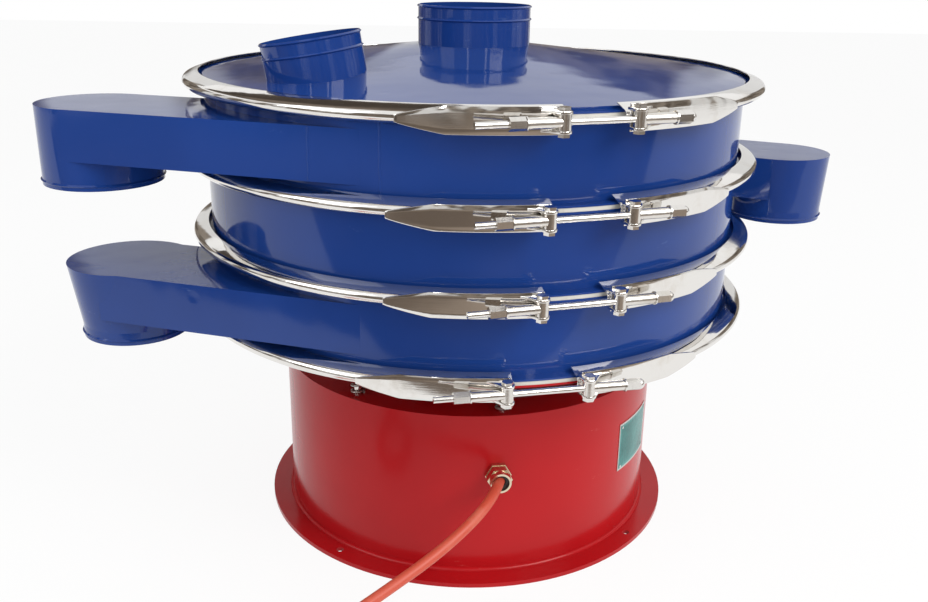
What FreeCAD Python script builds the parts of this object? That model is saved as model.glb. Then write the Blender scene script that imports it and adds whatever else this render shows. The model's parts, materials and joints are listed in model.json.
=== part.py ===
import FreeCAD
import Part
import math
import os

# Round vibrating sieve with three decks, in millimetres. +Z is up, the origin is the centre of the
# foot bolt circle on the floor. Azimuths are measured from the front (-Y) towards +X.

# ---- sieve stack -------------------------------------------------------------------------------
LOW_JOINT_Z = 434.0          # clamped joint between the vibrating table and the lower frame
RING_PITCH = 133.0           # height from one clamped joint to the next
SHELL_R = 486.0              # outside radius of the sieve frames
SHEET = 2.0                  # sheet thickness of frames, ducts and cover
FLANGE_T = 3.0               # thickness of each clamped flange
SEAL_T = 6.6                 # what lies between two clamped flanges
MESH_T = 0.8
SCREEN_RING_T = 2.0
SCREEN_RING_R = SHELL_R + 13.5
SCREEN_RING_WIDTH = 33.0
SEAL_WIDTH = 17.0

# ---- clamp rings and their closers ----------------------------------------------------------------
RING_R = SHELL_R + 34.0      # outside of the V
RING_DEPTH = 27.5            # radial depth of the V
RING_HALF_H = 16.0
RING_T = 2.0
# for each ring, top ring first: azimuth of its gap, trunnion axis from the middle of the gap along
# the rod, drop of the closer below the ring's middle, left end of the rod beyond the trunnion axis
CLOSERS = (
    (19.5, 57.0, 2.0, 129.0),
    (18.8, 65.0, 5.0, 111.0),
    (17.8, 61.0, 1.5, 113.0),
    (13.0, 63.5, 1.0, 111.0),
)
RING_END = 13.0              # end of the ring's apex, from the trunnion axis towards the gap
STRAP_T = 3.0
STRAP_H = 39.5
STRAP_DEG = 26.0
STRAP_SETBACK_DEG = 0.5
STRAP_NOSE_L = 70.0
STRAP_NOSE_H = 12.0
STRAP_NOSE_STEP = 5.0        # how far the nose's cut reaches back past its tip
ROD_Y = RING_R + 13.0        # rod axis from the machine axis
BARREL_R = 9.5
BARREL_H = 22.0
TUBE_R = 8.0
TUBE_L = 55.0                # far end of the trunnion's tube, from the trunnion axis
ROD_R = 5.0
EAR_T = 4.0
EAR_R = 11.0
EAR_TAIL = 32.0              # length of an ear's foot away from the gap
PIVOT_R = 4.0
PIVOT_DEPTH = 5.0
PIVOT_HEAD_AF = 16.0
PIVOT_HEAD_H = 5.0
NUT_AF = 17.0
NUT_H = 8.0
WASHER_R = 10.0
WASHER_T = 2.0
LOCK_NUTS = 3
CAP_HEX_H = 14.5
CAP_DOME_R = 8.0

# ---- cover and inlets -------------------------------------------------------------------------
COVER_RISE = 59.0            # from the cone's rim to its apex
COVER_STEP = 10.0            # height of the cone's rim above the joint
INLET_R = 101.5
INLET_TOP_Z = 958.0
SIDE_INLET_R = 80.5
SIDE_INLET_L = 58.0
SIDE_INLET_POS = (-252.0, -244.0)
SIDE_INLET_LEAN_DEG = 9.0
INLET_BEAD = 2.5
INLET_BEAD_DROP = 24.0
LIP_OUT = 2.5
LIP_H = 5.0

# ---- outlets ----------------------------------------------------------------------------------
DUCT_TOP_DROP = 26.3         # duct roof below the joint above it
DUCT_FLOOR_DROP = 108.1
SPOUT_END_DROP = 155.9
SPOUT_R = 97.4
SPOUT_BEAD = 2.5
SPOUT_BEAD_UP = 8.0
SPOUT_NECK_L = 22.0          # straight stretch at the lower end
DUCT_INSET = 1.0             # duct's outer wall inside the frame's tangent
# spout distance and azimuth, radius at the roof, radius at the lower end, for frames 1 to 3
OUTLETS = (
    (SHELL_R + 172.8, -69.6, SPOUT_R, SPOUT_R),
    (SHELL_R + 159.2, 103.0, SPOUT_R, 91.0),
    (SHELL_R + 145.0, -68.4, 105.0, 89.0),
)
PAN_APEX_DROP = 62.0         # apex of the discharge pan below the middle joint

# ---- base drum ----------------------------------------------------------------------------------
DRUM_R = 362.0
DRUM_WALL = 3.0
DRUM_H = 311.0
DRUM_TOP_T = 6.0
DRUM_TOP_HOLE_R = DRUM_R - 62.0
FOOT_R = DRUM_R + 41.0
FOOT_T = 8.0
FOOT_INNER_R = DRUM_R - 32.0
WELD = 5.0
FOOT_PCD = 2 * DRUM_R + 41.0
FOOT_HOLES = 4
FOOT_HOLE_R = 7.0
FOOT_HOLE_AZ = 53.0
PLATE_AZ = 60.5
PLATE_W = 125.0
PLATE_H = 96.0
PLATE_Z = 186.0
PLATE_T = 1.0
RIVET_R = 2.5
RIVET_HEAD = 1.2
RIVET_INSET = 8.0

# ---- cable and gland ------------------------------------------------------------------------------
CABLE_R = 9.0
GLAND_AZ = 8.5
GLAND_Z = 202.0
GLAND_AF = 40.0
GLAND_HEX_T = 8.5
GLAND_THREAD_R = 18.4
GLAND_STUB = 9.0
GLAND_BORE_R = 11.2
GLAND_NUT_T = 6.5
GLAND_TAIL = 5.0
CAP_AF = 38.0
CAP_L = 27.0
CAP_MOUTH_R = 14.5
CAP_MOUTH_L = 6.0
SEAL_R = 16.3
COIL_R = 100.0               # middle of the coil's turns
COIL_TURNS = 2               # turns side by side, and layers
COIL_POS = (-440.0, -655.0)
PLUG_R = 27.0
PLUG_L = 128.0
PLUG_LEAD = 80.0
# the cable's route from the gland to the coil, after its first point
CABLE_ROUTE = (
    (45.0, -440.0, 204.0),
    (8.0, -492.0, 184.0),
    (-49.0, -545.0, 158.0),
    (-118.0, -598.0, 133.0),
    (-196.0, -655.0, 106.0),
    (-262.0, -703.0, 62.0),
    (-320.0, -742.0, 26.0),
    (-372.0, -761.0, 11.5),
    (-425.0, -764.0, CABLE_R),
)

# ---- springs ------------------------------------------------------------------------------------
SPRINGS = 8
SPRING_CIRCLE_R = DRUM_R - 24.0
SPRING_AZ = -35.0
SPRING_R = 13.0
SPRING_WIRE_R = 2.4
SPRING_COILS = 7
STUD_H = 20.0

# ---- vibrating table and motor --------------------------------------------------------------------
TABLE_T = 8.0
TABLE_R = SHELL_R + 3.0
TABLE_HOLE_R = 118.0
MOTOR_R = 95.0
MOTOR_L = 178.0
MOTOR_FLANGE_R = 160.0
MOTOR_FLANGE_T = 16.0
MOTOR_BOLTS = 8
MOTOR_BOLT_PCD = 280.0
MOTOR_BOLT_R = 8.0
MOTOR_BOLT_AF = 24.0
MOTOR_BOLT_HEAD = 10.0
FINS = 16
FIN_T = 4.0
FIN_H = 9.0
FIN_SETBACK = 15.0           # from a fin's end to the end of the housing
BELL_H = 20.0
BELL_TOP_R = 60.0
SHAFT_R = 20.0
BEARING_R = 36.0
BEARING_W = 12.0
WEIGHT_R = 100.0
WEIGHT_T = 24.0
WEIGHT_HUB_R = 33.0
WEIGHT_DROP = 9.0            # running space between a bell and its weight
# distance from the machine's axis, and height above the gland
LEAD_POINTS = ((290.0, -3.0), (208.2, 0.0), (161.8, 26.8), (135.0, 73.2), (135.0, 127.0))
BOX_W = 78.0
BOX_Z = (318.0, 384.0)
BOX_R = (MOTOR_R + FIN_H + 1, 166.0)
BOX_GLAND_L = 14.0
BOX_GLAND_R = 14.0
BOX_POCKET = 26.0
PAD_W = 54.0                 # pad on the housing that carries the terminal box
PAD_H = 50.0
PAD_Z = 326.0
PAD_ROOT = 8.0

# ---- fits -----------------------------------------------------------------------------------------
SEAT = 0.1                   # between pieces bolted or laid together
FIT = 0.3                    # between curved faces, and where a piece turns past another
RUN = 0.05                   # radial play of a shaft, nut or screw in its bore

# ---- what follows from these ------------------------------------------------------------------------
JOINT_Z = [LOW_JOINT_Z + RING_PITCH * k for k in (3, 2, 1, 0)]
HALF_JOINT = SEAL_T / 2 + FLANGE_T
RING_LIP_R = RING_R - RING_DEPTH
RING_SLOPE = RING_HALF_H / RING_DEPTH
RING_SKIN = RING_T * math.sqrt(1 + RING_SLOPE ** 2)
RING_INNER_R = RING_R - RING_SKIN / RING_SLOPE
FLANGE_R = RING_INNER_R - (HALF_JOINT + FIT) / RING_SLOPE
INNER_R = SHELL_R - SHEET
TABLE_Z = LOW_JOINT_Z - HALF_JOINT - TABLE_T
COVER_RIM_Z = JOINT_Z[0] + COVER_STEP
COVER_SLOPE = COVER_RISE / SHELL_R
BODY_TOP = TABLE_Z - SEAT - MOTOR_FLANGE_T
BODY_LOW = BODY_TOP - MOTOR_L
EAR_Z = BARREL_H / 2 + FIT
STACK_START = TUBE_L + SEAT
NUT_START = STACK_START + WASHER_T + FIT
CAP_START = NUT_START + NUT_H + SEAT
ROD_RIGHT = CAP_START + CAP_HEX_H - SEAT
GLAND_SEAT = DRUM_R + FIT
CAP_SEAT = GLAND_SEAT + GLAND_HEX_T + FIT
SEAL_Y = CAP_SEAT + CAP_L - CAP_MOUTH_L
STUD_R = SPRING_R - 2 * SPRING_WIRE_R - 0.5


def vec(x, y, z):
    return FreeCAD.Vector(x, y, z)


def turned(shape, azimuth):
    """A copy turned about the machine's axis."""
    copy = shape.copy()
    copy.rotate(vec(0, 0, 0), vec(0, 0, 1), azimuth)
    return copy


def moved(shape, x, y, z):
    copy = shape.copy()
    copy.translate(vec(x, y, z))
    return copy


def polygon_face(points):
    return Part.Face(Part.makePolygon(points + points[:1]))


def revolved(profile, degrees=360.0):
    """Solid of revolution about Z from (radius, height) corners. A part turn starts at +X."""
    face = polygon_face([vec(r, 0, z) for r, z in profile])
    return face.revolve(vec(0, 0, 0), vec(0, 0, 1), degrees)


def ring(inner, outer, low, high):
    return revolved([(inner, low), (outer, low), (outer, high), (inner, high)])


def post(radius, low, high, x=0.0, y=0.0):
    return Part.makeCylinder(radius, high - low, vec(x, y, low), vec(0, 0, 1))


def along_x(radius, start, end, y=0.0, z=0.0):
    return Part.makeCylinder(radius, end - start, vec(start, y, z), vec(1, 0, 0))


def outward(radius, start, end, z):
    """Cylinder at the front, its axis pointing away from the machine's axis."""
    return Part.makeCylinder(radius, end - start, vec(0, -start, z), vec(0, -1, 0))


def hexagon(across, low, high):
    """Hexagonal prism about Z, by its width across flats."""
    corner = across / math.sqrt(3)
    points = [vec(corner * math.cos(math.radians(60 * k)), corner * math.sin(math.radians(60 * k)), low)
              for k in range(6)]
    return polygon_face(points).extrude(vec(0, 0, high - low))


def laid_along_x(shape):
    """Turns a piece made about Z so that its axis lies along +X."""
    copy = shape.copy()
    copy.rotate(vec(0, 0, 0), vec(0, 1, 0), 90)
    return copy


def laid_outward(shape, z):
    """Turns a piece made about Z so that it points out at the front, at height z."""
    copy = shape.copy()
    copy.rotate(vec(0, 0, 0), vec(1, 0, 0), 90)
    return moved(copy, 0, 0, z)


def joined(shapes):
    first = shapes[0]
    if len(shapes) == 1:
        return first
    return first.fuse(shapes[1:]).removeSplitter()


def save(name, shapes):
    """Writes one node. A list is a group of separate solids."""
    group = shapes if isinstance(shapes, list) else [shapes]
    solids = [solid for shape in group for solid in shape.Solids]
    shape = solids[0] if len(solids) == 1 else Part.makeCompound(solids)
    shape.exportStep(os.path.join("parts", name + ".step"))


# ---- cover ------------------------------------------------------------------------------------------
def cone_z(radius):
    """Height of the cover's upper face."""
    return COVER_RIM_Z + COVER_RISE - COVER_SLOPE * radius


def collar(radius, low, top):
    """Sheet tube with a bead and a rolled lip for a flexible sleeve."""
    bead = top - INLET_BEAD_DROP
    profile = [(radius - SHEET, low), (radius, low), (radius, bead - INLET_BEAD),
               (radius + INLET_BEAD, bead), (radius, bead + INLET_BEAD), (radius, top - LIP_H),
               (radius + LIP_OUT, top - LIP_H / 2), (radius, top), (radius - SHEET, top)]
    return revolved(profile)


def leaned(shape):
    copy = shape.copy()
    copy.rotate(vec(0, 0, 0), vec(0, 1, 0), -SIDE_INLET_LEAN_DEG)
    x, y = SIDE_INLET_POS
    return moved(copy, x, y, cone_z(math.hypot(x, y)))


def cover():
    joint = JOINT_Z[0]
    low = joint + SEAL_T / 2
    seat = joint + HALF_JOINT
    drop = SHEET * math.sqrt(1 + COVER_SLOPE ** 2)
    shell = revolved([(INNER_R, low), (FLANGE_R, low), (FLANGE_R, seat), (SHELL_R, seat),
                      (SHELL_R, cone_z(SHELL_R)), (0, cone_z(0)), (0, cone_z(0) - drop),
                      (INNER_R, cone_z(INNER_R) - drop)])
    middle = collar(INLET_R, cone_z(INLET_R) - SHEET, INLET_TOP_Z)
    sink = 2 * SIDE_INLET_R * COVER_SLOPE + 10
    side = leaned(collar(SIDE_INLET_R, -sink, SIDE_INLET_L))
    under = revolved([(0, low - 100), (INNER_R, low - 100), (INNER_R, cone_z(INNER_R) - drop),
                      (0, cone_z(0) - drop)])
    side = side.cut(under)
    body = joined([shell, middle, side])
    body = body.cut(post(INLET_R - SHEET, low, INLET_TOP_Z + 1))
    return body.cut(leaned(post(SIDE_INLET_R - SHEET, -sink, SIDE_INLET_L + 1)))


# ---- frames with tangential outlets -----------------------------------------------------------------
def spout_form(distance, low, neck, high, low_r, high_r):
    """Round spout at the front: straight up to the neck, then widening to the roof."""
    profile = [(0, low), (low_r, low), (low_r, neck), (high_r, high), (0, high)]
    if low_r == high_r:
        profile.remove((low_r, neck))
    return moved(revolved(profile), 0, -distance, 0)


def duct_prism(distance, offset, half_width, low, high, length):
    """Box from the spout's axis towards the frame. The spout is at the front, and the box's middle
    line passes the machine's axis at offset."""
    turn = math.asin(offset / distance)
    ahead = (math.sin(turn), math.cos(turn))
    side = (math.cos(turn), -math.sin(turn))
    corners = []
    for along, across in ((0, -1), (length, -1), (length, 1), (0, 1)):
        x = ahead[0] * along + side[0] * across * half_width
        y = -distance + ahead[1] * along + side[1] * across * half_width
        corners.append(vec(x, y, low))
    return polygon_face(corners).extrude(vec(0, 0, high - low))


def outlet_solids(upper_joint, outlet):
    """Outer form and inner space of one outlet, with its spout at the front."""
    distance, _, roof_r, end_r = outlet
    roof = upper_joint - DUCT_TOP_DROP
    floor = upper_joint - DUCT_FLOOR_DROP
    end = upper_joint - SPOUT_END_DROP
    offset = SHELL_R - DUCT_INSET - SPOUT_R
    reach = math.sqrt(distance ** 2 - offset ** 2)
    neck = end + SPOUT_NECK_L
    bead_z = end + SPOUT_BEAD_UP
    bead = moved(revolved([(end_r - 1, bead_z - SPOUT_BEAD), (end_r, bead_z - SPOUT_BEAD),
                           (end_r + SPOUT_BEAD, bead_z), (end_r, bead_z + SPOUT_BEAD),
                           (end_r - 1, bead_z + SPOUT_BEAD)]), 0, -distance, 0)
    outer = joined([duct_prism(distance, offset, SPOUT_R, floor, roof, reach - SHEET),
                    spout_form(distance, end, neck, roof, end_r, roof_r), bead])
    hollow = spout_form(distance, end - 1, neck, roof - SHEET, end_r - SHEET, roof_r - SHEET)
    inner = joined([duct_prism(distance, offset, SPOUT_R - SHEET, floor + SHEET, roof - SHEET, reach + 20),
                    hollow])
    return outer, inner


def sieve_frame(level):
    """Frame between joint level and the one below it, with its outlet."""
    upper = JOINT_Z[level]
    lower = JOINT_Z[level + 1]
    top = upper - SEAL_T / 2
    low = lower + SEAL_T / 2
    wall = revolved([(INNER_R, low), (FLANGE_R, low), (FLANGE_R, low + FLANGE_T), (SHELL_R, low + FLANGE_T),
                     (SHELL_R, top - FLANGE_T), (FLANGE_R, top - FLANGE_T), (FLANGE_R, top), (INNER_R, top)])
    outer, inner = outlet_solids(upper, OUTLETS[level])
    azimuth = OUTLETS[level][1]
    bore = post(SHELL_R - SHEET / 2, low, top)
    outer = turned(outer, azimuth).cut(bore)
    return joined([wall, outer]).cut(turned(inner, azimuth))


def lower_frame():
    """The lowest frame, with a cone welded in that sheds what passed both decks to its outlet."""
    rim = JOINT_Z[2] - DUCT_FLOOR_DROP + SHEET
    apex = JOINT_Z[2] - PAN_APEX_DROP
    radius = SHELL_R - SHEET / 2
    cone = revolved([(0, apex), (radius, rim), (radius, rim - SHEET), (0, apex - SHEET)])
    return joined([sieve_frame(2), cone])


# ---- screens and seals -----------------------------------------------------------------------------
def screen_ring(joint):
    half = SCREEN_RING_T / 2
    return ring(SCREEN_RING_R - SCREEN_RING_WIDTH, SCREEN_RING_R, joint - half, joint + half)


def screen_mesh(joint):
    low = joint + SCREEN_RING_T / 2
    return post(INNER_R - SHEET, low, low + MESH_T)


def screen_seal(joint):
    """U-shaped rubber edge round a screen ring."""
    outer = FLANGE_R - 1
    inner = outer - SEAL_WIDTH
    half = SEAL_T / 2 - SEAT
    slot = SCREEN_RING_T / 2 + SEAT
    root = SCREEN_RING_R + SEAT
    return revolved([(inner, -half + joint), (outer, -half + joint), (outer, half + joint),
                     (inner, half + joint), (inner, slot + joint), (root, slot + joint),
                     (root, -slot + joint), (inner, -slot + joint)])


def flat_seal(joint):
    outer = FLANGE_R - 1
    half = SEAL_T / 2 - SEAT
    return ring(outer - SEAL_WIDTH, outer, joint - half, joint + half)


# ---- clamp rings, made with their gap at the front ---------------------------------------------------
def gap_degrees(pin_s):
    """Half the angle of a ring's gap."""
    return math.degrees((pin_s - RING_END) / RING_R)


def strap(pin_s):
    """Curved plate welded to the ring's apex at its right end, with a tapered nose."""
    half = STRAP_H / 2
    start = gap_degrees(pin_s) + STRAP_SETBACK_DEG
    inner = RING_R - STRAP_T / 3
    outer = RING_R + STRAP_T
    face = polygon_face([vec(inner, 0, -half), vec(outer, 0, -half), vec(outer, 0, half), vec(inner, 0, half)])
    plate = turned(face.revolve(vec(0, 0, 0), vec(0, 0, 1), STRAP_DEG), start - 90)
    near = -RING_R - 4 * STRAP_T
    for sign in (-1, 1):
        corner = polygon_face([vec(-STRAP_NOSE_L, near, sign * (half + 1)),
                               vec(STRAP_NOSE_STEP, near, sign * (half + 1)),
                               vec(STRAP_NOSE_STEP, near, sign * STRAP_NOSE_H / 3)])
        wedge = turned(corner.extrude(vec(0, 8 * STRAP_T, 0)), start + STRAP_DEG)
        plate = plate.cut(wedge)
    return plate


def ears(pin_s):
    """Two lugs that hold the right trunnion's pivot screws."""
    azimuth = math.degrees(math.atan2(pin_s, ROD_Y))
    distance = math.hypot(pin_s, ROD_Y)
    root = RING_R + STRAP_T / 3
    pieces = []
    for low in (EAR_Z, -EAR_Z - EAR_T):
        outline = polygon_face([vec(-EAR_R, -distance, low), vec(EAR_R, -distance, low),
                                vec(EAR_TAIL, -root, low), vec(-EAR_R, -root, low)])
        ear = outline.extrude(vec(0, 0, EAR_T)).fuse(post(EAR_R, low, low + EAR_T, 0, -distance))
        pieces.append(ear.cut(post(PIVOT_R + RUN, low - 1, low + EAR_T + 1, 0, -distance)))
    return [turned(piece, azimuth) for piece in pieces]


def to_side(shape, side):
    """Pieces are made on the right of the gap (1), and mirrored for its left (-1)."""
    return shape if side > 0 else shape.mirror(vec(0, 0, 0), vec(1, 0, 0))


def clamp_ring(pin_s, drop):
    """The V ring lies higher than its closer by drop."""
    lip = RING_HALF_H - RING_SKIN
    section = [(RING_LIP_R, RING_HALF_H), (RING_R, 0), (RING_LIP_R, -RING_HALF_H), (RING_LIP_R, -lip),
               (RING_INNER_R, 0), (RING_LIP_R, lip)]
    gap = gap_degrees(pin_s)
    hoop = turned(revolved(section, 360 - 2 * gap), gap - 90)
    right = [strap(pin_s)] + ears(pin_s)
    return joined([moved(hoop, 0, 0, drop)] + right + [to_side(piece, -1) for piece in right])


def trunnion(pin_s, side):
    """Upright barrel between the ears, with a tube for the rod pointing away from the gap."""
    end = pin_s + TUBE_L
    barrel = post(BARREL_R, -BARREL_H / 2, BARREL_H / 2, pin_s, -ROD_Y)
    tube = along_x(TUBE_R, pin_s, end, -ROD_Y)
    body = barrel.fuse(tube).cut(along_x(ROD_R + FIT, pin_s - 2 * BARREL_R, end + 1, -ROD_Y))
    for low in (-BARREL_H / 2 - 1, BARREL_H / 2 - PIVOT_DEPTH):
        body = body.cut(post(PIVOT_R + RUN, low, low + PIVOT_DEPTH + 1, pin_s, -ROD_Y))
    return to_side(body, side)


def pivot_screws(pin_s):
    """Four hexagon screws that hold the two trunnions of one ring."""
    face = EAR_Z + EAR_T + SEAT
    shank = post(PIVOT_R, BARREL_H / 2 - PIVOT_DEPTH + FIT, face)
    head = hexagon(PIVOT_HEAD_AF, face, face + PIVOT_HEAD_H)
    screw = joined([shank, head])
    turned_over = screw.mirror(vec(0, 0, 0), vec(0, 0, 1))
    return [moved(piece, side * pin_s, -ROD_Y, 0) for side in (-1, 1) for piece in (screw, turned_over)]


def closing_rod(pin_s, left_l):
    return along_x(ROD_R, -pin_s - left_l, pin_s + ROD_RIGHT, -ROD_Y)


def nut(start):
    """Hexagon nut on the rod, from start along +X."""
    body = hexagon(NUT_AF, 0, NUT_H).cut(post(ROD_R + RUN, -1, NUT_H + 1))
    return moved(laid_along_x(body), start, -ROD_Y, 0)


def washer(start):
    disc = post(WASHER_R, 0, WASHER_T).cut(post(ROD_R + RUN, -1, WASHER_T + 1))
    return moved(laid_along_x(disc), start, -ROD_Y, 0)


def cap_nut(start):
    """Long domed nut that covers the rod's end."""
    body = hexagon(NUT_AF, 0, CAP_HEX_H)
    dome = Part.makeSphere(CAP_DOME_R, vec(0, 0, CAP_HEX_H))
    body = body.fuse(dome).cut(post(ROD_R + RUN, -1, CAP_HEX_H + 1))
    return moved(laid_along_x(body), start, -ROD_Y, 0)


def locks(pin_s):
    """What holds the rod's left end, and the washer under the closing nut."""
    pieces = [to_side(washer(pin_s + STACK_START), -1), washer(pin_s + STACK_START)]
    first = pin_s + STACK_START + WASHER_T + SEAT
    return pieces + [to_side(nut(first + k * (NUT_H + SEAT)), -1) for k in range(LOCK_NUTS)]


def save_clamps():
    screws, rods, held = [], [], []
    for index, (height, (azimuth, pin_s, drop, rod_left)) in enumerate(zip(JOINT_Z, CLOSERS)):
        def place(shape):
            return turned(moved(shape, 0, 0, height - drop), azimuth)
        number = str(index + 1)
        save("clamp_ring_" + number, place(clamp_ring(pin_s, drop)))
        save("left_trunnion_" + number, place(trunnion(pin_s, -1)))
        save("right_trunnion_" + number, place(trunnion(pin_s, 1)))
        save("clamp_nut_" + number, place(nut(pin_s + NUT_START)))
        save("cap_nut_" + number, place(cap_nut(pin_s + CAP_START)))
        screws += [place(screw) for screw in pivot_screws(pin_s)]
        rods.append(place(closing_rod(pin_s, rod_left)))
        held += [place(piece) for piece in locks(pin_s)]
    save("pivot_screws", screws)
    save("closing_rods", rods)
    save("lock_nuts_and_washers", held)


# ---- base drum --------------------------------------------------------------------------------------
def base_drum():
    inner = DRUM_R - DRUM_WALL
    body = revolved([(FOOT_INNER_R, 0), (FOOT_R, 0), (FOOT_R, FOOT_T), (DRUM_R + WELD, FOOT_T),
                     (DRUM_R, FOOT_T + WELD), (DRUM_R, DRUM_H), (DRUM_TOP_HOLE_R, DRUM_H),
                     (DRUM_TOP_HOLE_R, DRUM_H - DRUM_TOP_T), (inner, DRUM_H - DRUM_TOP_T),
                     (inner, FOOT_T), (FOOT_INNER_R, FOOT_T)])
    for k in range(FOOT_HOLES):
        hole = post(FOOT_HOLE_R, -1, FOOT_T + 1, 0, -FOOT_PCD / 2)
        body = body.cut(turned(hole, FOOT_HOLE_AZ + 360 / FOOT_HOLES * k))
    gland_hole = outward(GLAND_THREAD_R + FIT, inner - 10, DRUM_R + 10, GLAND_Z)
    return body.cut(turned(gland_hole, GLAND_AZ))


def nameplate():
    inner = DRUM_R + 2 * SEAT
    degrees = math.degrees(PLATE_W / DRUM_R)
    low = PLATE_Z - PLATE_H / 2
    high = PLATE_Z + PLATE_H / 2
    plate = revolved([(inner, low), (inner + PLATE_T, low), (inner + PLATE_T, high), (inner, high)], degrees)
    return turned(plate, PLATE_AZ - 90 - degrees / 2)


def nameplate_rivets():
    face = DRUM_R + 2 * SEAT + PLATE_T + SEAT
    degrees = math.degrees((PLATE_W / 2 - RIVET_INSET) / DRUM_R)
    rise = PLATE_H / 2 - RIVET_INSET
    return [turned(outward(RIVET_R, face, face + RIVET_HEAD, PLATE_Z + sign * rise), PLATE_AZ + side * degrees)
            for sign in (-1, 1) for side in (-1, 1)]


# ---- gland, made at the front and turned to its place ------------------------------------------------
def gland_body():
    tail = DRUM_R - DRUM_WALL - GLAND_NUT_T - GLAND_TAIL
    pieces = [laid_outward(hexagon(GLAND_AF, GLAND_SEAT, GLAND_SEAT + GLAND_HEX_T), GLAND_Z),
              outward(GLAND_THREAD_R, tail, GLAND_SEAT + 1, GLAND_Z),
              outward(GLAND_THREAD_R - 2, GLAND_SEAT, CAP_SEAT + GLAND_STUB, GLAND_Z)]
    body = joined(pieces).cut(outward(GLAND_BORE_R, tail - 1, CAP_SEAT + GLAND_STUB + 1, GLAND_Z))
    return turned(body, GLAND_AZ)


def gland_lock_nut():
    outer = math.sqrt((DRUM_R - DRUM_WALL) ** 2 - (GLAND_AF * 0.6) ** 2) - SEAT
    body = laid_outward(hexagon(GLAND_AF + 2, outer - GLAND_NUT_T, outer), GLAND_Z)
    return turned(body.cut(outward(GLAND_THREAD_R + RUN, outer - 20, outer + 5, GLAND_Z)), GLAND_AZ)


def gland_cap_nut():
    end = CAP_SEAT + CAP_L
    hex_end = CAP_SEAT + 0.6 * CAP_L
    outer = laid_outward(hexagon(CAP_AF, CAP_SEAT, hex_end), GLAND_Z)
    cone = Part.makeCone(CAP_AF / 2, CAP_MOUTH_R + 3.5, end - hex_end, vec(0, -hex_end, GLAND_Z), vec(0, -1, 0))
    body = outer.fuse(cone)
    body = body.cut(outward(GLAND_THREAD_R - 2 + FIT, CAP_SEAT - 1, CAP_SEAT + GLAND_STUB + FIT, GLAND_Z))
    body = body.cut(outward(SEAL_R + SEAT, CAP_SEAT, SEAL_Y + SEAT, GLAND_Z))
    return turned(body.cut(outward(CAP_MOUTH_R, CAP_SEAT, end + 1, GLAND_Z)), GLAND_AZ)


def gland_seal():
    body = outward(SEAL_R, CAP_SEAT + GLAND_STUB + FIT, SEAL_Y, GLAND_Z)
    body = body.cut(outward(CABLE_R + SEAT, CAP_SEAT, SEAL_Y + 1, GLAND_Z))
    return turned(body, GLAND_AZ)


# ---- cable -----------------------------------------------------------------------------------------
def front_point(distance, azimuth, z):
    angle = math.radians(azimuth)
    return vec(distance * math.sin(angle), -distance * math.cos(angle), z)


def cord_wire(points):
    """Straight runs joined by tangent arcs. Each arc is as large as its two runs allow."""
    edges = []
    start = points[0]
    radii = []
    for before, corner, after in zip(points, points[1:], points[2:]):
        into = (corner - before).normalize()
        out = (after - corner).normalize()
        half_turn = into.getAngle(out) / 2
        setback = 0.45 * min((corner - before).Length, (after - corner).Length)
        radius = setback / math.tan(half_turn)
        radii.append(radius)
        first = corner - into * setback
        last = corner + out * setback
        inward = (out - into).normalize()
        middle = corner + inward * (radius / math.cos(half_turn) - radius)
        edges.append(Part.LineSegment(start, first).toShape())
        edges.append(Part.Arc(first, middle, last).toShape())
        start = last
    edges.append(Part.LineSegment(start, points[-1]).toShape())
    return Part.Wire(edges), radii


def cord_tube(name, points, radius):
    wire, radii = cord_wire(points)
    start = points[0]
    circle = Part.Wire(Part.makeCircle(radius, start, points[1] - points[0]))
    tube = wire.makePipeShell([circle], True, True)
    print(name, "arc radii", [round(r) for r in radii], "length", round(wire.Length),
          "volume ratio", round(tube.Volume / (math.pi * radius ** 2 * wire.Length), 4))
    return tube


def coil_outer():
    return COIL_R + COIL_TURNS * CABLE_R


def cable_coil():
    """The put-away turns as one solid ring on the floor."""
    body = ring(COIL_R - COIL_TURNS * CABLE_R, coil_outer(), 0, 2 * COIL_TURNS * CABLE_R)
    return moved(body, COIL_POS[0], COIL_POS[1], 0)


def power_cable():
    points = [front_point(SEAL_Y - CAP_MOUTH_L, GLAND_AZ, GLAND_Z)] + [vec(*point) for point in CABLE_ROUTE]
    tube = cord_tube("power_cable", points, CABLE_R)
    inside_seal = turned(outward(3 * CABLE_R, SEAL_Y - 4 * CAP_MOUTH_L, SEAL_Y + SEAT, GLAND_Z), GLAND_AZ)
    return tube.cut(inside_seal).cut(cable_coil())


def plug_start():
    """Where the last turn leaves the front of the coil's top layer, heading for -X."""
    turn_r = COIL_R + (COIL_TURNS - 1) * CABLE_R
    return vec(COIL_POS[0], COIL_POS[1] - turn_r, (2 * COIL_TURNS - 1) * CABLE_R)


def plug_lead():
    start = plug_start()
    end = start + vec(-PLUG_LEAD, 0, PLUG_R - start.z)
    tube = Part.makeCylinder(CABLE_R, (end - start).Length, start, end - start)
    return tube.cut(cable_coil())


def plug():
    """Four-pin industrial plug lying beside the coil."""
    shroud_r = PLUG_R - 2
    face = PLUG_L - 36
    grip = [(0, 0), (13, 0), (16, 6), (18, 30), (20, 48), (23, 52), (23, face - 18), (shroud_r, face - 14),
            (shroud_r, face - 8), (PLUG_R, face - 8), (PLUG_R, face - 2), (shroud_r, face - 1),
            (shroud_r, PLUG_L), (shroud_r - 3, PLUG_L), (shroud_r - 3, face), (0, face)]
    body = revolved(grip)
    for k in range(4):
        pin = post(3.0, face - 1, PLUG_L - 6, 0, -12)
        body = body.fuse(turned(pin, 90 * k))
    body.rotate(vec(0, 0, 0), vec(0, 1, 0), -90)
    start = plug_start()
    return moved(body, start.x - PLUG_LEAD - FIT, start.y, PLUG_R)


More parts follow.
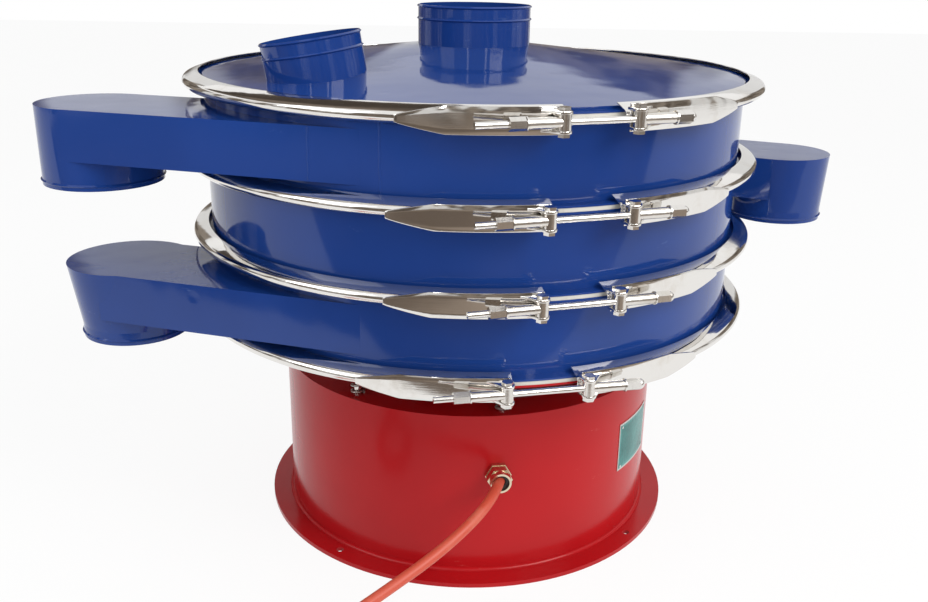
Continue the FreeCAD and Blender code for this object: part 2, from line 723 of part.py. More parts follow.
def motor_lead():
    """Cable inside the drum, from the gland's seal up into the terminal box."""
    points = [(CAP_SEAT + GLAND_STUB + FIT - SEAT, 0)] + list(LEAD_POINTS)
    return cord_tube("motor_lead", [front_point(r, GLAND_AZ, GLAND_Z + rise) for r, rise in points], CABLE_R)


# ---- springs ----------------------------------------------------------------------------------------
def helix_spring(low, high):
    """Coil spring about Z as a closed faceted solid with six-sided wire."""
    steps = 10 * SPRING_COILS
    sides = 6
    middle = SPRING_R - SPRING_WIRE_R
    rise = high - low - 2 * SPRING_WIRE_R
    loops = []
    for k in range(steps + 1):
        turn = 2 * math.pi * k / 10
        height = low + SPRING_WIRE_R + rise * k / steps
        loop = []
        for s in range(sides):
            angle = 2 * math.pi * s / sides + math.pi / 6
            radius = middle + SPRING_WIRE_R * math.cos(angle)
            loop.append(vec(radius * math.cos(turn), radius * math.sin(turn),
                            height + SPRING_WIRE_R * math.sin(angle)))
        loops.append(loop)
    faces = [polygon_face(loops[0]), polygon_face(loops[-1])]
    for before, after in zip(loops, loops[1:]):
        for s in range(sides):
            near, next_side = before[s], before[(s + 1) % sides]
            far, far_side = after[s], after[(s + 1) % sides]
            faces.append(polygon_face([near, next_side, far_side]))
            faces.append(polygon_face([near, far_side, far]))
    solid = Part.Solid(Part.Shell(faces))
    if solid.Volume < 0:
        solid.reverse()
    return solid


def around_springs(shape):
    piece = moved(shape, 0, -SPRING_CIRCLE_R, 0)
    return [turned(piece, SPRING_AZ + 360 / SPRINGS * k) for k in range(SPRINGS)]


def support_springs():
    return around_springs(helix_spring(DRUM_H + SEAT, TABLE_Z - SEAT))


def stud(face, height):
    """Guide stud inside a spring's end. It stands up from face, or hangs from it."""
    low, high = sorted((face, face + height))
    return around_springs(post(STUD_R, low, high))


# ---- vibrating table and motor ----------------------------------------------------------------------
def vibrating_table():
    top = TABLE_Z + TABLE_T
    body = revolved([(TABLE_HOLE_R, TABLE_Z), (TABLE_R, TABLE_Z), (TABLE_R, top), (FLANGE_R, top),
                     (FLANGE_R, top + FLANGE_T), (INNER_R - SEAL_WIDTH, top + FLANGE_T),
                     (INNER_R - SEAL_WIDTH, top), (TABLE_HOLE_R, top)])
    return body.cut(bolt_circle_holes(TABLE_Z - 1, top + 1))


def bolt_circle_holes(low, high):
    holes = [turned(post(MOTOR_BOLT_R + FIT, low, high, 0, -MOTOR_BOLT_PCD / 2), 360 / MOTOR_BOLTS * k)
             for k in range(MOTOR_BOLTS)]
    return Part.makeCompound(holes)


def motor_housing():
    body = revolved([(SHAFT_R + 5, BODY_LOW), (MOTOR_R, BODY_LOW), (MOTOR_R, BODY_TOP),
                     (MOTOR_FLANGE_R, BODY_TOP), (MOTOR_FLANGE_R, BODY_TOP + MOTOR_FLANGE_T),
                     (SHAFT_R + 5, BODY_TOP + MOTOR_FLANGE_T)])
    fin = Part.makeBox(FIN_T, FIN_H + 2, MOTOR_L - 2 * FIN_SETBACK,
                       vec(-FIN_T / 2, -MOTOR_R - FIN_H, BODY_LOW + FIN_SETBACK))
    pad = Part.makeBox(PAD_W, BOX_R[0] - MOTOR_R + PAD_ROOT, PAD_H, vec(-PAD_W / 2, SEAT - BOX_R[0], PAD_Z))
    pad = pad.cut(post(MOTOR_R - 2, BODY_LOW, BODY_TOP))
    fins = [turned(fin, 360 / FINS * (k + 0.5) + GLAND_AZ) for k in range(FINS)]
    body = joined([body, turned(pad, GLAND_AZ)] + fins)
    return body.cut(bolt_circle_holes(BODY_TOP - 1, TABLE_Z))


def end_bell(face, direction):
    """Bearing shield from face, pointing up (1) or down (-1)."""
    profile = [(SHAFT_R + 2, 0), (MOTOR_R - 2, 0), (MOTOR_R - 2, 6), (BELL_TOP_R, BELL_H), (SHAFT_R + 2, BELL_H)]
    body = revolved(profile).cut(post(BEARING_R + SEAT, 3, 3 + BEARING_W + SEAT))
    if direction < 0:
        body = body.mirror(vec(0, 0, 0), vec(0, 0, 1))
    return moved(body, 0, 0, face)


def bearing(face, direction):
    body = ring(SHAFT_R + RUN, BEARING_R, 3 + SEAT, 3 + BEARING_W)
    if direction < 0:
        body = body.mirror(vec(0, 0, 0), vec(0, 0, 1))
    return moved(body, 0, 0, face)


UPPER_FACE = BODY_TOP + MOTOR_FLANGE_T + SEAT
LOWER_FACE = BODY_LOW - SEAT
UPPER_WEIGHT_Z = UPPER_FACE + BELL_H + WEIGHT_DROP
LOWER_WEIGHT_Z = LOWER_FACE - BELL_H - WEIGHT_DROP - WEIGHT_T
PHASE_WEIGHT_Z = LOWER_WEIGHT_Z - WEIGHT_T - FIT


def motor_shaft():
    return post(SHAFT_R, PHASE_WEIGHT_Z - 6, UPPER_WEIGHT_Z + WEIGHT_T + 6)


def eccentric_weight(low, azimuth, play):
    """Half disc on a hub, bored for the shaft."""
    disc = post(WEIGHT_R, low, low + WEIGHT_T)
    cutter = Part.makeBox(4 * WEIGHT_R, 2 * WEIGHT_R, 2 * WEIGHT_T, vec(-2 * WEIGHT_R, 0, low - 1))
    half = disc.cut(cutter)
    body = half.fuse(post(WEIGHT_HUB_R, low, low + WEIGHT_T)).removeSplitter()
    return turned(body.cut(post(SHAFT_R + play, low - 1, low + WEIGHT_T + 1)), azimuth)


def motor_bolts():
    head = hexagon(MOTOR_BOLT_AF, TABLE_Z + TABLE_T + SEAT, TABLE_Z + TABLE_T + SEAT + MOTOR_BOLT_HEAD)
    shank = post(MOTOR_BOLT_R, BODY_TOP - 3, TABLE_Z + TABLE_T + SEAT + 1)
    nut_low = hexagon(MOTOR_BOLT_AF, BODY_TOP - SEAT - 13, BODY_TOP - SEAT)
    bolt = joined([head, shank.fuse(post(MOTOR_BOLT_R, BODY_TOP - 15, BODY_TOP)), nut_low])
    return [turned(moved(bolt, 0, -MOTOR_BOLT_PCD / 2, 0), 360 / MOTOR_BOLTS * k) for k in range(MOTOR_BOLTS)]


def terminal_box():
    """Box on the motor's side, its cable gland pointing down."""
    low, high = BOX_Z
    near, far = BOX_R
    lead_y = -LEAD_POINTS[-1][0]
    body = Part.makeBox(BOX_W, far - near, high - low, vec(-BOX_W / 2, -far, low))
    upright = [edge for edge in body.Edges if abs(edge.tangentAt(0).z) > 0.9]
    body = body.makeFillet(6, upright)
    body = body.fuse(post(BOX_GLAND_R, low - BOX_GLAND_L, low + 1, 0, lead_y))
    body = body.cut(post(CABLE_R + FIT + SEAT, low - BOX_GLAND_L - 1, low + BOX_POCKET, 0, lead_y))
    return turned(body.removeSplitter(), GLAND_AZ)


def main():
    os.makedirs("parts", exist_ok=True)
    save("cover", cover())
    save("upper_frame", sieve_frame(0))
    save("middle_frame", sieve_frame(1))
    save("lower_frame", lower_frame())
    for name, joint in (("upper_screen", JOINT_Z[1]), ("lower_screen", JOINT_Z[2])):
        save(name + "_ring", screen_ring(joint))
        save(name + "_mesh", screen_mesh(joint))
        save(name + "_seal", screen_seal(joint))
    save("cover_seal", flat_seal(JOINT_Z[0]))
    save("table_seal", flat_seal(JOINT_Z[3]))
    save_clamps()
    save("base_drum", base_drum())
    save("nameplate", nameplate())
    save("nameplate_rivets", nameplate_rivets())
    save("gland_body", gland_body())
    save("gland_lock_nut", gland_lock_nut())
    save("gland_cap_nut", gland_cap_nut())
    save("gland_seal", gland_seal())
    save("power_cable", power_cable())
    save("cable_coil", cable_coil())
    save("plug_lead", plug_lead())
    save("plug", plug())
    save("motor_lead", motor_lead())
    save("support_springs", support_springs())
    save("lower_spring_studs", stud(DRUM_H + SEAT, STUD_H))
    save("upper_spring_studs", stud(TABLE_Z - SEAT, -STUD_H))
    save("vibrating_table", vibrating_table())
    save("motor_housing", motor_housing())
    save("motor_end_bells", [end_bell(UPPER_FACE, 1), end_bell(LOWER_FACE, -1)])
    save("motor_bearings", [bearing(UPPER_FACE, 1), bearing(LOWER_FACE, -1)])
    save("motor_shaft", motor_shaft())
    save("upper_weight", eccentric_weight(UPPER_WEIGHT_Z, 0, RUN))
    save("lower_weight", eccentric_weight(LOWER_WEIGHT_Z, 0, RUN))
    save("phase_weight", eccentric_weight(PHASE_WEIGHT_Z, 35, RUN))
    save("motor_bolts", motor_bolts())
    save("terminal_box", terminal_box())


main()
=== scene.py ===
import json
import logging
import math
from dataclasses import dataclass
from enum import Enum
from typing import Iterable, Sequence

import bmesh
import bpy
from mathutils import Matrix, Vector


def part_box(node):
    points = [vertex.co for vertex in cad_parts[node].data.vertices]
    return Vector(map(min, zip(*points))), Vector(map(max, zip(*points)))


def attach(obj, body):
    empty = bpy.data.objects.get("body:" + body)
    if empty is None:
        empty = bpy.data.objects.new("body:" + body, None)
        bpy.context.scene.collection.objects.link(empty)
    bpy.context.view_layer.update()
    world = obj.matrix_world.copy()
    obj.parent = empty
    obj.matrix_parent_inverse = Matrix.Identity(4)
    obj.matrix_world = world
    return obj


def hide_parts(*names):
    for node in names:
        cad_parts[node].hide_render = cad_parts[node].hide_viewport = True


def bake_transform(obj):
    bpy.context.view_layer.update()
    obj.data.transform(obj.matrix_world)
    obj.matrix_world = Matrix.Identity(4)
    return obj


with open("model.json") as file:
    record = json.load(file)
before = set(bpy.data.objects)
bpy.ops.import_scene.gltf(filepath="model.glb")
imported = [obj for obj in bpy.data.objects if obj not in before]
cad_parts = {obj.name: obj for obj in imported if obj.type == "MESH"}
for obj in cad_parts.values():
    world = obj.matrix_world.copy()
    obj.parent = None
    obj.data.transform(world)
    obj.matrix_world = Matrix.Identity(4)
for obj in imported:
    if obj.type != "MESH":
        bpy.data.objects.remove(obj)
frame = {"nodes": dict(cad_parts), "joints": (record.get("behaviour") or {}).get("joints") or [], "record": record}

LOG = logging.getLogger("vibrating_sieve")
MM = 0.001
Colour = tuple[float, float, float]
Point = tuple[float, float, float]


class Body(Enum):
    """The CAD bodies that pieces of this scene ride on."""

    BASE = "base"
    SIEVE = "vibrating_body"


class Slot(Enum):
    """The record's material slots."""

    BLUE = "blue_paint"
    RED = "red_paint"
    POLISHED = "polished_steel"
    CAST = "cast_steel"
    ZINC = "zinc_steel"
    SPRING = "spring_steel"
    SCREEN = "screen_steel"
    SEAL = "seal_rubber"
    BRASS = "gland_brass"
    BLACK = "black_rubber"
    CABLE = "cable_rubber"
    PLUG = "plug_plastic"
    PLATE = "plate_metal"
    RIVET = "rivet_metal"
    MOTOR = "motor_paint"
    MACHINED = "machined_steel"


# ---------------------------------------------------------------- camera, floor and light
@dataclass(frozen=True)
class CameraView:
    """Where the camera stands and how it looks."""

    position: Point = (0.0, -1.837, 1.039)
    pitch_deg: float = 19.5
    yaw_deg: float = -0.34
    roll_deg: float = 0.87
    focal_mm: float = 37.72
    sensor_mm: float = 36.0
    clip_end: float = 100.0

    def build(self) -> bpy.types.Object:
        """Adds the camera and makes it the scene's.

        Returns:
            The camera object.
        """
        bpy.ops.object.camera_add(location=self.position)
        camera = bpy.context.object
        camera.name = "camera"
        camera.data.sensor_width = self.sensor_mm
        camera.data.lens = self.focal_mm
        camera.data.clip_end = self.clip_end
        pitch, yaw, roll = (math.radians(a) for a in (self.pitch_deg, self.yaw_deg, self.roll_deg))
        ahead = Vector((math.sin(yaw) * math.cos(pitch), math.cos(yaw) * math.cos(pitch), -math.sin(pitch)))
        right = Vector((math.cos(yaw), -math.sin(yaw), 0.0))
        up = right.cross(ahead)
        across = right * math.cos(roll) + up * math.sin(roll)
        upright = up * math.cos(roll) - right * math.sin(roll)
        matrix = Matrix((across, upright, -ahead)).transposed().to_4x4()
        matrix.translation = self.position
        camera.matrix_world = matrix
        bpy.context.scene.camera = camera
        return camera


@dataclass(frozen=True)
class SoftBox:
    """A soft area lamp aimed at the object."""

    name: str
    position: Point
    target: Point
    size: tuple[float, float]
    watts: float
    colour: Colour = (1.0, 1.0, 1.0)

    def build(self) -> bpy.types.Object:
        """Adds the lamp.

        Returns:
            The lamp object.
        """
        bpy.ops.object.light_add(type="AREA", location=self.position)
        lamp = bpy.context.object
        lamp.name = self.name
        lamp.data.shape = "RECTANGLE"
        lamp.data.size, lamp.data.size_y = self.size
        lamp.data.energy = self.watts
        lamp.data.color = self.colour
        way = Vector(self.target) - Vector(self.position)
        lamp.rotation_euler = way.to_track_quat("-Z", "Y").to_euler()
        return lamp


# ---------------------------------------------------------------- shader building
MIX_COLOUR_INPUTS = (6, 7)
MIX_COLOUR_OUTPUT = 2


def add_node(tree: bpy.types.NodeTree, kind: str, settings: dict | None = None,
             inputs: dict | None = None) -> bpy.types.Node:
    """Adds one shader node.

    Args:
        tree: The tree it goes into.
        kind: The node's type.
        settings: Its own properties, which are set first.
        inputs: What its sockets get, constants or links, by name or number.

    Returns:
        The node.
    """
    node = tree.nodes.new(kind)
    for name, value in (settings or {}).items():
        setattr(node, name, value)
    for name, value in (inputs or {}).items():
        source = value.socket if isinstance(value, Value) else value
        if isinstance(source, bpy.types.NodeSocket):
            tree.links.new(source, node.inputs[name])
        else:
            node.inputs[name].default_value = source
    return node


class Value:
    """A shader socket that can be calculated with."""

    def __init__(self, tree: bpy.types.NodeTree, socket: bpy.types.NodeSocket) -> None:
        """Wraps a socket of a tree."""
        self.tree = tree
        self.socket = socket

    def _math(self, operation: str, *values: "Value | float", clamp: bool = False) -> "Value":
        """The result of a new Math node."""
        node = add_node(self.tree, "ShaderNodeMath", {"operation": operation, "use_clamp": clamp},
                        dict(enumerate(values)))
        return Value(self.tree, node.outputs[0])

    def __add__(self, other: "Value | float") -> "Value":
        """This value plus another."""
        return self._math("ADD", self, other)

    def __radd__(self, other: float) -> "Value":
        """A number plus this value."""
        return self._math("ADD", other, self)

    def __sub__(self, other: "Value | float") -> "Value":
        """This value less another."""
        return self._math("SUBTRACT", self, other)

    def __rsub__(self, other: float) -> "Value":
        """A number less this value."""
        return self._math("SUBTRACT", other, self)

    def __mul__(self, other: "Value | float") -> "Value":
        """This value times another."""
        return self._math("MULTIPLY", self, other)

    def __rmul__(self, other: float) -> "Value":
        """A number times this value."""
        return self._math("MULTIPLY", other, self)

    def sine(self) -> "Value":
        """Sine of this value in radians."""
        return self._math("SINE", self)

    def size(self) -> "Value":
        """This value without its sign."""
        return self._math("ABSOLUTE", self)

    def larger(self, other: "Value | float") -> "Value":
        """The larger of this value and another."""
        return self._math("MAXIMUM", self, other)

    def angle_to(self, other: "Value") -> "Value":
        """Arc tangent of this value over another."""
        return self._math("ARCTAN2", self, other)

    def clamped(self) -> "Value":
        """This value held between 0 and 1."""
        return self._math("ADD", self, 0.0, clamp=True)

    def band(self, low: float, high: float) -> "Value":
        """0 below low, 1 above high and smooth between."""
        node = add_node(self.tree, "ShaderNodeMapRange", {"interpolation_type": "SMOOTHSTEP"},
                        {"Value": self, "From Min": low, "From Max": high})
        return Value(self.tree, node.outputs["Result"])


class Canvas:
    """One procedural material and what its surface is worked out from."""

    def __init__(self, name: str) -> None:
        """Starts a material.

        Args:
            name: The material's name.
        """
        self.material = bpy.data.materials.new(name)
        self.material.use_nodes = True
        self.tree = self.material.node_tree
        self.shader = self.tree.nodes["Principled BSDF"]
        self.place = add_node(self.tree, "ShaderNodeTexCoord").outputs["Object"]
        split = add_node(self.tree, "ShaderNodeSeparateXYZ", inputs={0: self.place})
        self.x, self.y, self.z = (Value(self.tree, out) for out in split.outputs)

    def set(self, **values: float | Colour) -> None:
        """Sets constant inputs of the shader, by name with _ for a space.

        Args:
            **values: Numbers or colours.
        """
        for name, value in values.items():
            socket = self.shader.inputs[name.replace("_", " ")]
            socket.default_value = (*value, 1.0) if isinstance(value, tuple) else value

    def feed(self, name: str, value: Value) -> None:
        """Links a calculated value to one of the shader's inputs."""
        self.tree.links.new(value.socket, self.shader.inputs[name])

    def noise(self, scale: float, detail: float = 2.0, stretch: Point = (1.0, 1.0, 1.0),
              rough: float = 0.5) -> Value:
        """Soft noise from 0 to 1.

        Args:
            scale: Waves per metre.
            detail: Octaves.
            stretch: Scale along each axis.
            rough: How strong the finer octaves are.

        Returns:
            The noise.
        """
        mapping = add_node(self.tree, "ShaderNodeMapping", inputs={"Vector": self.place, "Scale": stretch})
        node = add_node(self.tree, "ShaderNodeTexNoise", inputs={
            "Vector": mapping.outputs[0], "Scale": scale, "Detail": detail, "Roughness": rough})
        return Value(self.tree, node.outputs["Fac"])

    def cells(self, scale: float) -> Value:
        """Distance to the nearest of scattered points."""
        node = add_node(self.tree, "ShaderNodeTexVoronoi", inputs={"Vector": self.place, "Scale": scale})
        return Value(self.tree, node.outputs["Distance"])

    def around(self) -> Value:
        """Azimuth about the machine's axis in radians, from the front towards +X."""
        return self.x.angle_to(self.y * -1.0)

    def mixed(self, amount: Value, first: Colour | Value, second: Colour | Value) -> Value:
        """A colour between two.

        Args:
            amount: 0 gives the first, 1 the second.
            first: Colour or socket.
            second: Colour or socket.

        Returns:
            The mixed colour.
        """
        ends = [end if isinstance(end, Value) else (*end, 1.0) for end in (first, second)]
        node = add_node(self.tree, "ShaderNodeMix", {"data_type": "RGBA"},
                        {"Factor": amount.clamped(), **dict(zip(MIX_COLOUR_INPUTS, ends))})
        return Value(self.tree, node.outputs[MIX_COLOUR_OUTPUT])

    def relief(self, height: Value, depth_mm: float) -> None:
        """Bumps the surface.

        Args:
            height: Height from 0 to 1.
            depth_mm: What a height of 1 stands for.
        """
        node = add_node(self.tree, "ShaderNodeBump",
                        inputs={"Strength": 1.0, "Distance": depth_mm * MM, "Height": height})
        self.tree.links.new(node.outputs[0], self.shader.inputs["Normal"])


# ---------------------------------------------------------------- finishes
@dataclass(frozen=True)
class Paint:
    """Sprayed gloss paint with orange peel, waves and dents in the sheet under it, and small scuffs."""

    slot: Slot
    colour: Colour
    deep: Colour
    scuff: Colour
    roughness: float = 0.07
    specular: float = 0.4
    cloud_scale: float = 2.3
    speck_scale: float = 55.0
    scuff_scale: float = 9.0
    scuff_share: float = 0.35
    peel_scale: float = 420.0
    peel_mm: float = 0.012
    wave_scale: float = 7.0
    wave_mm: float = 1.6
    dent_scale: float = 11.0
    dent_share: float = 0.12

    def build(self) -> bpy.types.Material:
        """Makes the material.

        Returns:
            The material.
        """
        canvas = Canvas(self.slot.value)
        cloud = canvas.noise(self.cloud_scale, 3.0).band(0.3, 0.7)
        speck = canvas.noise(self.speck_scale, 4.0, rough=0.7)
        marks = canvas.noise(self.scuff_scale, 5.0, stretch=(1.0, 1.0, 3.0), rough=0.75).band(0.66, 0.74)
        marks = marks * self.scuff_share
        canvas.feed("Base Color", canvas.mixed(marks, canvas.mixed(cloud, self.deep, self.colour), self.scuff))
        canvas.feed("Roughness", speck * 0.05 + marks * 0.3 + (self.roughness - 0.025))
        canvas.set(Specular_IOR_Level=self.specular)
        peel = canvas.noise(self.peel_scale, 1.0)
        wave = canvas.noise(self.wave_scale, 2.0, stretch=(1.0, 1.0, 0.6))
        dents = canvas.cells(self.dent_scale).band(0.0, 0.16)
        canvas.relief(peel * (self.peel_mm / self.wave_mm) + wave + dents * self.dent_share, self.wave_mm)
        return canvas.material


@dataclass(frozen=True)
class Steel:
    """Bare metal: polish streaks or casting grain, slight stains and waves."""

    slot: Slot
    colour: Colour
    stain: Colour
    roughness: float
    grain: float = 300.0
    stretch: Point = (1.0, 1.0, 1.0)
    grain_mm: float = 0.01
    wave: float = 18.0
    wave_mm: float = 0.0
    stain_scale: float = 13.0

    def build(self) -> bpy.types.Material:
        """Makes the material.

        Returns:
            The material.
        """
        canvas = Canvas(self.slot.value)
        grain = canvas.noise(self.grain, 3.0, stretch=self.stretch, rough=0.6)
        stain = canvas.noise(self.stain_scale, 4.0, rough=0.65).band(0.5, 0.78)
        canvas.feed("Base Color", canvas.mixed(stain * 0.6, self.colour, self.stain))
        canvas.feed("Roughness", grain * self.roughness * 0.6 + stain * 0.08 + self.roughness * 0.6)
        canvas.set(Metallic=1.0)
        wave = canvas.noise(self.wave, 2.0, stretch=(1.0, 1.0, 0.4))
        scale = max(self.wave_mm, self.grain_mm)
        canvas.relief(grain * (self.grain_mm / scale) + wave * (self.wave_mm / scale), scale)
        return canvas.material


@dataclass(frozen=True)
class Elastic:
    """Rubber or plastic with a fine moulded skin and dust."""

    slot: Slot
    colour: Colour
    dust: Colour
    roughness: float
    skin: float = 900.0
    skin_mm: float = 0.03
    dust_scale: float = 24.0

    def build(self) -> bpy.types.Material:
        """Makes the material.

        Returns:
            The material.
        """
        canvas = Canvas(self.slot.value)
        skin = canvas.noise(self.skin, 3.0)
        dust = canvas.noise(self.dust_scale, 4.0, rough=0.7).band(0.5, 0.8)
        canvas.feed("Base Color", canvas.mixed(dust * 0.5, self.colour, self.dust))
        canvas.feed("Roughness", skin * 0.12 + dust * 0.15 + (self.roughness - 0.06))
        canvas.relief(skin, self.skin_mm)
        return canvas.material


@dataclass(frozen=True)
class Weave:
    """Woven wire cloth, with painted shade in the openings between the wires."""

    slot: Slot
    colour: Colour
    # gap is the colour of the openings: painted shade standing in for the dark inside seen through them.
    gap: Colour
    pitch_mm: float = 1.6
    wire_mm: float = 0.3

    def build(self) -> bpy.types.Material:
        """Makes the material.

        Returns:
            The material.
        """
        canvas = Canvas(self.slot.value)
        turn = 2 * math.pi / (self.pitch_mm * MM)
        wires = (canvas.x * turn).sine().size().larger((canvas.y * turn).sine().size())
        # Between the wires the colour goes over to the gap colour, which is painted shade.
        shade = wires.band(0.55, 0.85)
        canvas.feed("Base Color", canvas.mixed(shade, self.gap, self.colour))
        canvas.feed("Roughness", canvas.noise(40.0, 3.0) * 0.15 + 0.25)
        canvas.set(Metallic=1.0)
        canvas.relief(wires, self.wire_mm)
        return canvas.material


@dataclass(frozen=True)
class PlateFace:
    """Printed plate with a bare metal border and a thin line inside it. Its face carries nothing."""

    slot: Slot
    face: Colour
    pale: Colour
    metal: Colour
    border_mm: float = 4.0
    border_edge_mm: float = 0.6
    line_side_mm: float = 4.0
    line_end_mm: float = 4.5
    line_edge_mm: float = 0.5
    line_share: float = 0.6

    def build(self) -> bpy.types.Material:
        """Makes the material.

        Returns:
            The material.
        """
        low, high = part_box("nameplate")
        middle = (low + high) / 2
        azimuth = math.atan2(middle.x, -middle.y)
        half_w = half_width_of_plate(azimuth) - self.border_mm * MM
        half_h = (high.z - low.z) / 2 - self.border_mm * MM
        canvas = Canvas(self.slot.value)
        along = (canvas.around() - azimuth).size() * math.hypot(middle.x, middle.y)
        rise = (canvas.z - middle.z).size()
        border = self._past(along, half_w, self.border_edge_mm).larger(
            self._past(rise, half_h, self.border_edge_mm))
        inner = self._past(along, half_w - self.line_side_mm * MM, self.line_edge_mm).larger(
            self._past(rise, half_h - self.line_end_mm * MM, self.line_edge_mm))
        line = inner * (1 - border) * self.line_share
        sheen = canvas.noise(16.0, 3.0).band(0.35, 0.7)
        face = canvas.mixed(sheen * 0.5, self.face, self.pale)
        canvas.feed("Base Color", canvas.mixed(border, canvas.mixed(line, face, self.pale), self.metal))
        canvas.feed("Metallic", border * 0.9 + 0.1)
        canvas.feed("Roughness", canvas.noise(500.0, 2.0, stretch=(1.0, 1.0, 0.1)) * 0.12 + 0.22)
        canvas.relief(border, 0.15)
        return canvas.material

    def _past(self, distance: Value, start: float, edge_mm: float) -> Value:
        """1 where a distance is past its start, with a soft edge."""
        return distance.band(start, start + edge_mm * MM)


def half_width_of_plate(azimuth: float) -> float:
    """Half of the nameplate's width along its arc, in metres.

    Args:
        azimuth: Its middle, in radians.

    Returns:
        The half width.
    """
    corners = (vertex.co for vertex in frame["nodes"]["nameplate"].data.vertices)
    return max(abs(math.atan2(p.x, -p.y) - azimuth) * math.hypot(p.x, p.y) for p in corners)


FINISHES = (
    Paint(Slot.BLUE, (0.012, 0.048, 0.235), (0.008, 0.036, 0.185), (0.10, 0.16, 0.34)),
    Paint(Slot.RED, (0.43, 0.008, 0.011), (0.35, 0.005, 0.008), (0.50, 0.10, 0.09), roughness=0.2,
          specular=0.22),
    Steel(Slot.POLISHED, (0.80, 0.78, 0.75), (0.62, 0.56, 0.48), 0.07, grain=90.0, stretch=(0.25, 0.25, 4.0),
          grain_mm=0.02, wave=16.0, wave_mm=0.55),
    Steel(Slot.CAST, (0.74, 0.71, 0.67), (0.52, 0.45, 0.37), 0.2, grain=260.0, grain_mm=0.05, wave=60.0,
          wave_mm=0.2),
    Steel(Slot.ZINC, (0.78, 0.76, 0.73), (0.60, 0.54, 0.46), 0.16, grain=500.0, grain_mm=0.02),
    Steel(Slot.SPRING, (0.42, 0.40, 0.38), (0.22, 0.17, 0.13), 0.3, grain=400.0, grain_mm=0.03),
    Weave(Slot.SCREEN, (0.66, 0.65, 0.63), (0.05, 0.05, 0.05)),
    Elastic(Slot.SEAL, (0.62, 0.60, 0.55), (0.40, 0.36, 0.30), 0.55),
    Steel(Slot.BRASS, (0.74, 0.63, 0.47), (0.42, 0.30, 0.19), 0.2, grain=350.0, grain_mm=0.02),
    Elastic(Slot.BLACK, (0.02, 0.02, 0.02), (0.06, 0.055, 0.05), 0.5),
    Elastic(Slot.CABLE, (0.54, 0.078, 0.042), (0.58, 0.16, 0.10), 0.45, skin=1200.0, skin_mm=0.02),
    Elastic(Slot.PLUG, (0.50, 0.02, 0.018), (0.36, 0.06, 0.05), 0.45),
    PlateFace(Slot.PLATE, (0.010, 0.13, 0.12), (0.06, 0.30, 0.28), (0.62, 0.61, 0.58)),
    Steel(Slot.RIVET, (0.78, 0.77, 0.75), (0.6, 0.58, 0.55), 0.15),
    Paint(Slot.MOTOR, (0.050, 0.062, 0.072), (0.032, 0.040, 0.048), (0.12, 0.11, 0.10), roughness=0.4,
          peel_mm=0.06, wave_mm=0.3),
    Steel(Slot.MACHINED, (0.60, 0.59, 0.57), (0.34, 0.28, 0.22), 0.28, grain=700.0, grain_mm=0.015),
)


class Palette:
    """Every material by slot."""

    def __init__(self) -> None:
        """Builds every finish."""
        self.materials = {finish.slot: finish.build() for finish in FINISHES}

    def dress(self, piece: bpy.types.Object, slot: Slot) -> None:
        """Gives one piece its only material and names its slot.

        Args:
            piece: The piece.
            slot: Its slot.
        """
        piece.data.materials.clear()
        piece.data.materials.append(self.materials[slot])

    def dress_frame(self) -> None:
        """Gives every carried-over CAD node the material of its slot."""
        for part in frame["record"]["subparts"]:
            node = frame["nodes"][part["node"]]
            material = self.materials[Slot(part["material_slot"])]
            if not node.data.materials:
                node.data.materials.append(material)
            for index in range(len(node.data.materials)):
                node.data.materials[index] = material


# ---------------------------------------------------------------- mesh helpers
def front(radius_mm: float, azimuth_deg: float, z_mm: float) -> Vector:
    """A point given by its distance from the machine's axis and its azimuth from the front.

    Args:
        radius_mm: Distance from the axis.
        azimuth_deg: From the front (-Y) towards +X.
        z_mm: Height.

    Returns:
        The point in metres.
    """
    angle = math.radians(azimuth_deg)
    return Vector((radius_mm * math.sin(angle), -radius_mm * math.cos(angle), z_mm)) * MM


BEVEL_FROM_DEG = 40.0


class Sheet:
    """Mesh under construction, in millimetres."""

    def __init__(self) -> None:
        """Starts with no faces."""
        self.mesh = bmesh.new()

    def loft(self, sections: Sequence[Sequence[Vector]], closed: bool = False) -> None:
        """Joins closed sections of equal length into a skin.

        Args:
            sections: Corner points of each section.
            closed: Whether the last section joins the first. If not, each end gets a face.
        """
        rows = [[self.mesh.verts.new(p) for p in section] for section in sections]
        count = len(rows[0])
        pairs = list(zip(rows, rows[1:])) + ([(rows[-1], rows[0])] if closed else [])
        for before, after in pairs:
            for k in range(count):
                n = (k + 1) % count
                self.mesh.faces.new((before[k], before[n], after[n], after[k]))
        if not closed:
            self.mesh.faces.new(list(reversed(rows[0])))
            self.mesh.faces.new(rows[-1])

    def slab(self, outline: Sequence[Vector], thickness: Vector) -> None:
        """A flat plate with the given outline."""
        self.loft([outline, [p + thickness for p in outline]])

    def finish(self, name: str, bevel_mm: float = 0.0, smooth_deg: float = 40.0) -> bpy.types.Object:
        """Turns the mesh into an object.

        Args:
            name: The object's name.
            bevel_mm: Width of the rounded edges, 0 for none.
            smooth_deg: Faces that meet flatter than this are shaded smooth.

        Returns:
            The object, its modifiers applied.
        """
        bmesh.ops.recalc_face_normals(self.mesh, faces=self.mesh.faces)
        data = bpy.data.meshes.new(name)
        self.mesh.to_mesh(data)
        self.mesh.free()
        data.transform(Matrix.Scale(MM, 4))
        piece = bpy.data.objects.new(name, data)
        bpy.context.collection.objects.link(piece)
        activate(piece)
        if bevel_mm:
            bevel = piece.modifiers.new("bevel", "BEVEL")
            bevel.width = bevel_mm * MM
            bevel.segments = 2
            bevel.limit_method = "ANGLE"
            bevel.angle_limit = math.radians(BEVEL_FROM_DEG)
            bpy.ops.object.modifier_apply(modifier=bevel.name)
        bpy.ops.object.shade_smooth_by_angle(angle=math.radians(smooth_deg))
        return piece


def activate(piece: bpy.types.Object) -> None:
    """Makes one object the active and only selected one.

    Args:
        piece: The object.
    """
    bpy.ops.object.select_all(action="DESELECT")
    bpy.context.view_layer.objects.active = piece
    piece.select_set(True)


